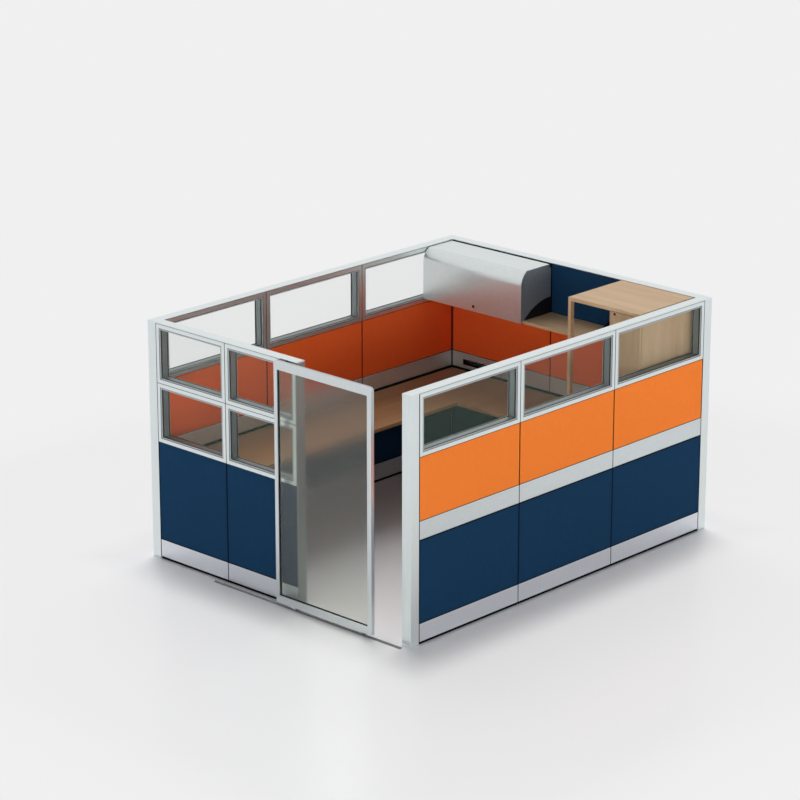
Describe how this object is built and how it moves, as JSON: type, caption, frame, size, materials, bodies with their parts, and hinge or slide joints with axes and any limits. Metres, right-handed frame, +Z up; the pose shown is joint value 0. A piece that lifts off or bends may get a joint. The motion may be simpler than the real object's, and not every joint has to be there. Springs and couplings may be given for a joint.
{
  "type": "cubicle workstation",
  "caption": "Office bay of framed fabric panels with glazed tops, a sliding frosted door on a floor track, an L-shaped desk, a flip-up wall bin and a narrow cabinet tower.",
  "frame": {"origin": "on the floor, at the middle of the whole object's plan", "axes": "+X along the front wall towards the doorway, +Y from the front wall to the back wall, +Z up"},
  "size_m": [2.438, 3.11, 1.7],
  "materials": {
    "frame_aluminium": "satin, light silver",
    "bead_plastic": "light grey",
    "panel_steel": "matt dark grey, hidden",
    "base_steel": "satin silver grey",
    "strip_steel": "satin silver grey",
    "navy_fabric": "fine woven navy",
    "orange_fabric": "fine woven orange",
    "window_glass": "clear, faint green",
    "foot_steel": "zinc plated",
    "track_aluminium": "satin",
    "door_aluminium": "satin anodised",
    "frosted_glass": "frosted",
    "roller_plastic": "black nylon",
    "fork_steel": "zinc plated",
    "guard_plastic": "white",
    "guide_plastic": "black",
    "desk_board": "light oak laminate",
    "black_steel": "black powder coat",
    "outlet_plastic": "black",
    "oak_board": "light oak laminate",
    "cabinet_oak": "light oak laminate, upright grain",
    "hood_paint": "satin silver",
    "end_paint": "satin blue grey",
    "pin_steel": "bright",
    "lock_chrome": "polished"
  },
  "bodies": {
    "cubicle": {"post_front_left": "frame_aluminium", "post_front_right": "frame_aluminium", "post_back_left": "frame_aluminium", "post_back_right": "frame_aluminium", "left_window_frames": "frame_aluminium", "right_window_frames": "frame_aluminium", "front_window_frames": "frame_aluminium", "top_caps": "frame_aluminium", "wall_end_trim": "frame_aluminium", "glazing_beads": "bead_plastic", "left_panel_frames": "panel_steel", "right_panel_frames": "panel_steel", "back_panel_frames": "panel_steel", "front_panel_frames": "panel_steel", "seam_strips": "panel_steel", "base_covers": "base_steel", "service_strips": "strip_steel", "left_navy_tiles": "navy_fabric", "right_navy_tiles": "navy_fabric", "back_navy_tiles": "navy_fabric", "front_navy_tiles": "navy_fabric", "left_orange_tiles": "orange_fabric", "right_orange_tiles": "orange_fabric", "back_orange_tiles": "orange_fabric", "left_window_panes": "window_glass", "right_window_panes": "window_glass", "front_window_panes": "window_glass", "levelling_feet": "foot_steel", "floor_track": "track_aluminium", "desk_left_run": "desk_board", "desk_back_run": "desk_board", "desk_brackets": "black_steel", "shelf_end_plates": "black_steel", "cable_outlet": "outlet_plastic", "wall_shelves": "oak_board", "tower_top": "oak_board", "tower_posts": "oak_board", "cabinet_sides": "cabinet_oak", "cabinet_back": "cabinet_oak", "cabinet_boards": "cabinet_oak", "bin_end_panels": "end_paint", "bin_hinge_pins": "pin_steel", "cabinet_pivots": "pin_steel", "lock_strikes": "pin_steel"},
    "door_leaf": {"door_left_stile": "door_aluminium", "door_right_stile": "door_aluminium", "door_top_rail": "door_aluminium", "door_bottom_rail": "door_aluminium", "door_glass": "frosted_glass", "door_edge_band": "door_aluminium", "door_roller_forks": "fork_steel", "door_roller_guard": "guard_plastic", "door_top_guide": "guide_plastic"},
    "left_roller": {"door_roller_left": "roller_plastic"},
    "right_roller": {"door_roller_right": "roller_plastic"},
    "hood": {"bin_hood": "hood_paint", "bin_lock_barrel": "lock_chrome"},
    "hood_lock": {"bin_lock_core": "lock_chrome"},
    "closet_door": {"cabinet_door": "cabinet_oak"},
    "closet_lock": {"cabinet_lock": "lock_chrome"}
  },
  "joints": [
    {"name": "door_slide", "type": "slide", "parent": "cubicle", "child": "door_leaf", "axis": [1, 0, 0], "range_m": [-0.724, 0.08]},
    {"name": "left_roller_spin", "type": "hinge", "parent": "door_leaf", "child": "left_roller", "pos_m": [0.243, -1.54, 0.0223], "axis": [0, 1, 0], "range_deg": [-3500, 400]},
    {"name": "right_roller_spin", "type": "hinge", "parent": "door_leaf", "child": "right_roller", "pos_m": [0.853, -1.54, 0.0223], "axis": [0, 1, 0], "range_deg": [-3500, 400]},
    {"name": "bin_hinge", "type": "hinge", "parent": "cubicle", "child": "hood", "pos_m": [-0.6575, 1.453, 1.678], "axis": [-1, 0, 0], "range_deg": [0, 90]},
    {"name": "bin_lock_turn", "type": "hinge", "parent": "hood", "child": "hood_lock", "pos_m": [-0.638, 1.161, 1.347], "axis": [0, 1, 0], "range_deg": [0, 90]},
    {"name": "cabinet_hinge", "type": "hinge", "parent": "cubicle", "child": "closet_door", "pos_m": [1.118, 0.891, 0.9], "axis": [0, 0, 1], "range_deg": [0, 90]},
    {"name": "cabinet_lock_turn", "type": "hinge", "parent": "closet_door", "child": "closet_lock", "pos_m": [0.903, 0.891, 1.658], "axis": [0, 1, 0], "range_deg": [0, 90]}
  ],
  "couplings": [
    {"joint": "left_roller_spin", "follows": "door_slide", "rad_per_m": 83.333},
    {"joint": "right_roller_spin", "follows": "door_slide", "rad_per_m": 83.333}
  ]
}
